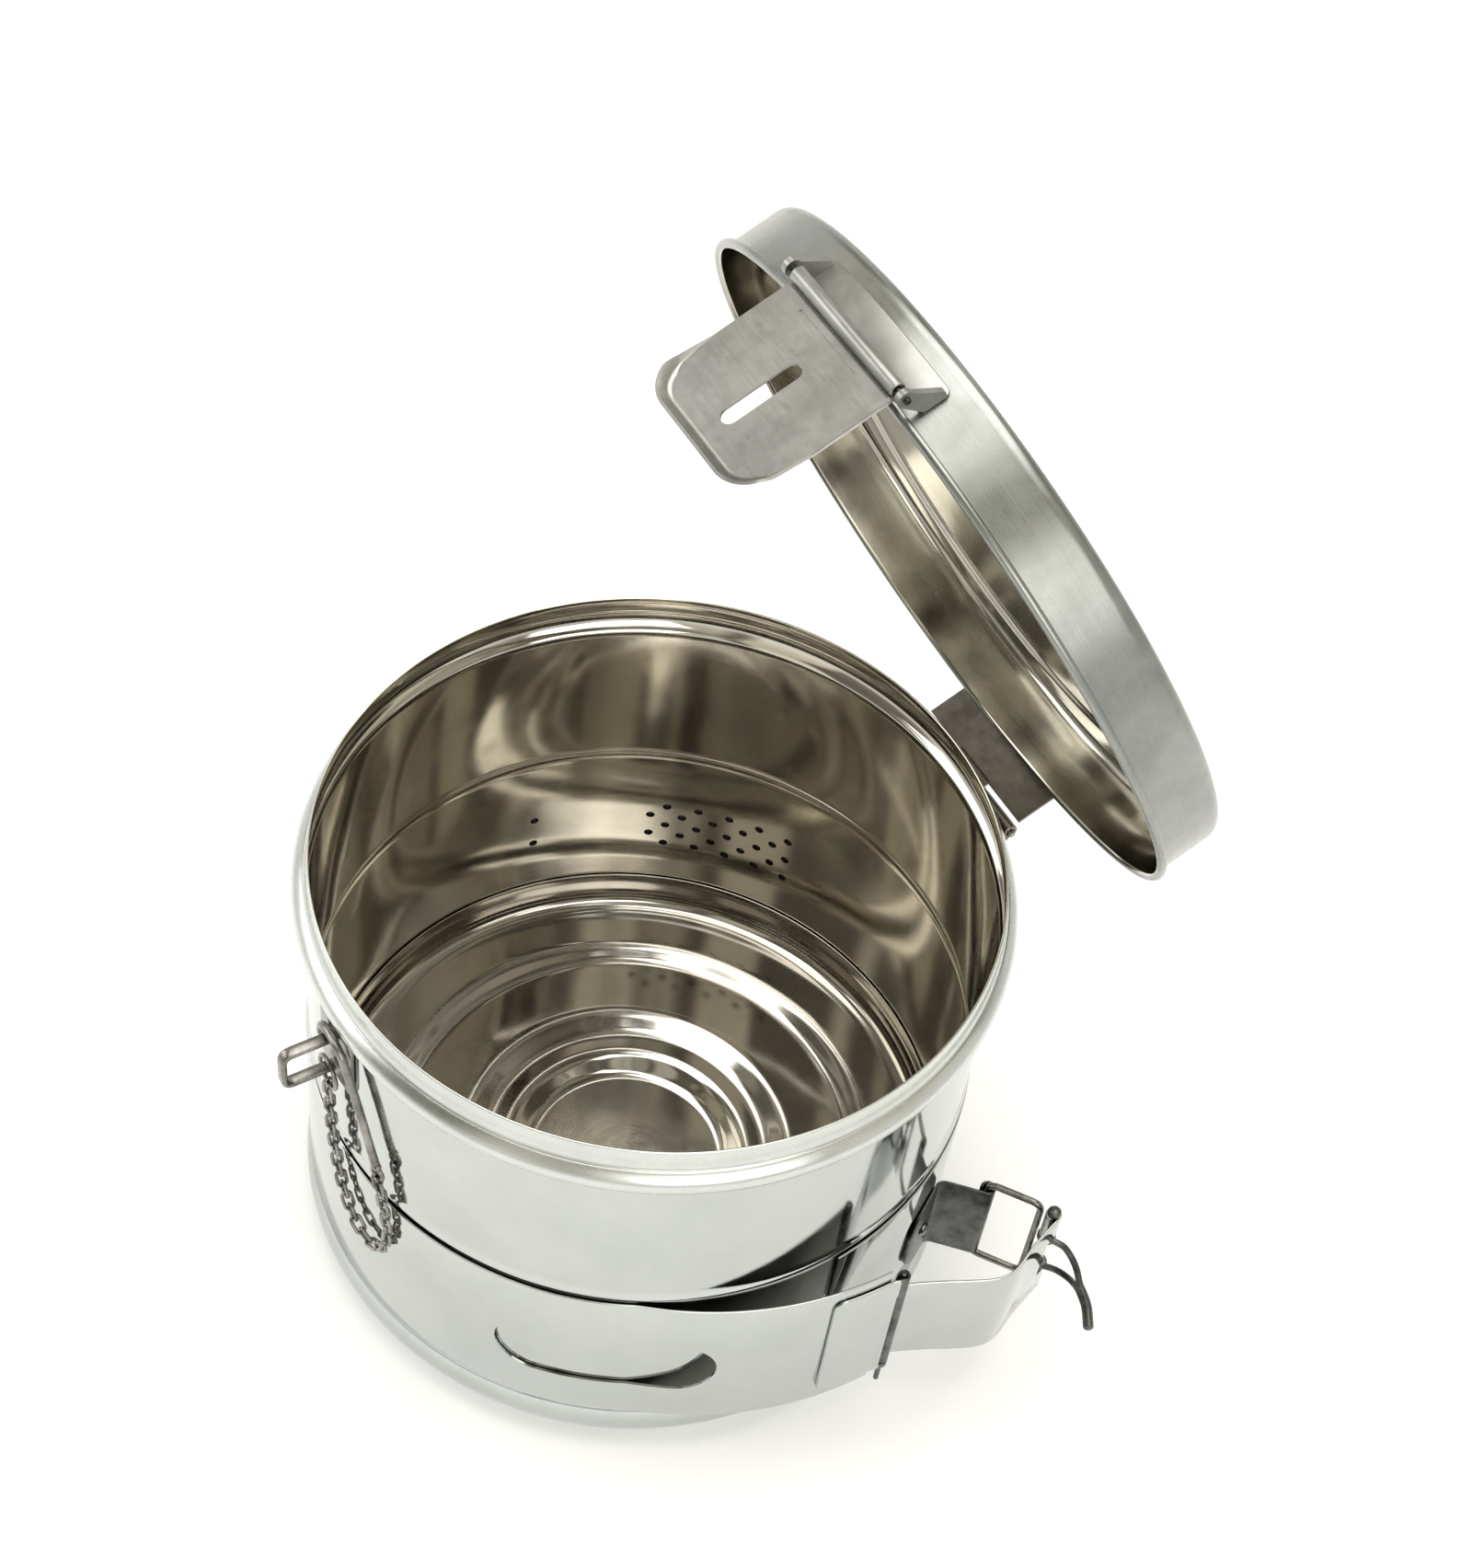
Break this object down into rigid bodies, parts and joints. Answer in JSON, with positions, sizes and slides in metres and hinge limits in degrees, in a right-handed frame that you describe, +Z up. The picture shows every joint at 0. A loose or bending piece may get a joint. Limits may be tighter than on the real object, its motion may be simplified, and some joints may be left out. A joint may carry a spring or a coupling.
{
  "type": "dressing sterilising drum",
  "caption": "Round steel dressing drum with hinged lid, hasp and staple, split sliding band over steam holes, wire toggle clasp, and a peg on a chain.",
  "frame": {"origin": "centre of the floor's flat underside, on the drum's axis, level with the foot", "axes": "+Z up along the drum's axis; +Y towards the lid hinge; +X along the hinge, towards the clasp's side"},
  "size_m": [0.3297, 0.3447, 0.4666],
  "materials": {
    "mirror_steel": "mirror polish",
    "lid_steel": "satin polish",
    "satin_steel": "satin",
    "wire_steel": "drawn wire",
    "dark_steel": "dull"
  },
  "bodies": {
    "drum": {"drum_wall": "mirror_steel", "drum_floor": "mirror_steel", "staple_plate": "satin_steel", "staple": "satin_steel", "body_hinge_leaf": "satin_steel", "hinge_pin": "wire_steel"},
    "lid": {"lid_shell": "lid_steel", "lid_hinge_leaf": "satin_steel", "hasp_bracket": "satin_steel", "hasp_pin": "wire_steel"},
    "hasp": {"hasp_plate": "satin_steel"},
    "band": {"band_strip": "mirror_steel", "band_end_plate": "mirror_steel", "arm_pin": "dark_steel", "catch_bracket": "dark_steel", "catch_rivet": "satin_steel"},
    "strap": {"arm_strap": "mirror_steel", "lever_pin": "wire_steel"},
    "lever": {"lever": "wire_steel"},
    "bail": {"bail": "wire_steel"},
    "chain": {"chain_ring": "wire_steel", "chain_link_01": "wire_steel", "chain_link_02": "wire_steel", "chain_link_03": "wire_steel", "chain_link_04": "wire_steel", "chain_link_05": "wire_steel", "chain_link_06": "wire_steel", "chain_link_07": "wire_steel", "chain_link_08": "wire_steel", "chain_link_09": "wire_steel", "chain_link_10": "wire_steel", "chain_link_11": "wire_steel", "chain_link_12": "wire_steel", "chain_link_13": "wire_steel", "chain_link_14": "wire_steel", "chain_link_15": "wire_steel", "chain_link_16": "wire_steel", "chain_link_17": "wire_steel", "chain_link_18": "wire_steel", "chain_link_19": "wire_steel", "chain_link_20": "wire_steel", "chain_link_21": "wire_steel", "chain_link_22": "wire_steel", "chain_link_23": "wire_steel", "chain_link_24": "wire_steel", "chain_link_25": "wire_steel", "chain_link_26": "wire_steel", "chain_link_27": "wire_steel", "locking_peg": "wire_steel"}
  },
  "joints": [
    {"name": "lid_hinge", "type": "hinge", "parent": "drum", "child": "lid", "pos_m": [0, 0.146, 0.188], "axis": [-1, 0, 0], "range_deg": [-65.4, 45]},
    {"name": "hasp_hinge", "type": "hinge", "parent": "lid", "child": "hasp", "pos_m": [0, 0.04751, 0.46318], "axis": [-1, 0, 0], "range_deg": [0, 150]},
    {"name": "band_slide_round", "type": "hinge", "parent": "drum", "child": "band", "pos_m": [0, 0, 0.07], "axis": [0, 0, 1], "range_deg": [0, 48.6]},
    {"name": "strap_hinge", "type": "hinge", "parent": "band", "child": "strap", "pos_m": [0.1508, 0.03343, 0.07], "axis": [0, 0, -1], "range_deg": [0, 60]},
    {"name": "lever_hinge", "type": "hinge", "parent": "strap", "child": "lever", "pos_m": [0.15, 0.108, 0.07], "axis": [0, 0, 1], "range_deg": [-20, 75]},
    {"name": "bail_hinge", "type": "hinge", "parent": "band", "child": "bail", "pos_m": [0.1255, 0.0932, 0.07], "axis": [0, 0, 1], "range_deg": [-25, 90]},
    {"name": "chain_swing", "type": "hinge", "parent": "drum", "child": "chain", "pos_m": [0, -0.1396, 0.1885], "axis": [-1, 0, 0], "range_deg": [0, 30]}
  ]
}
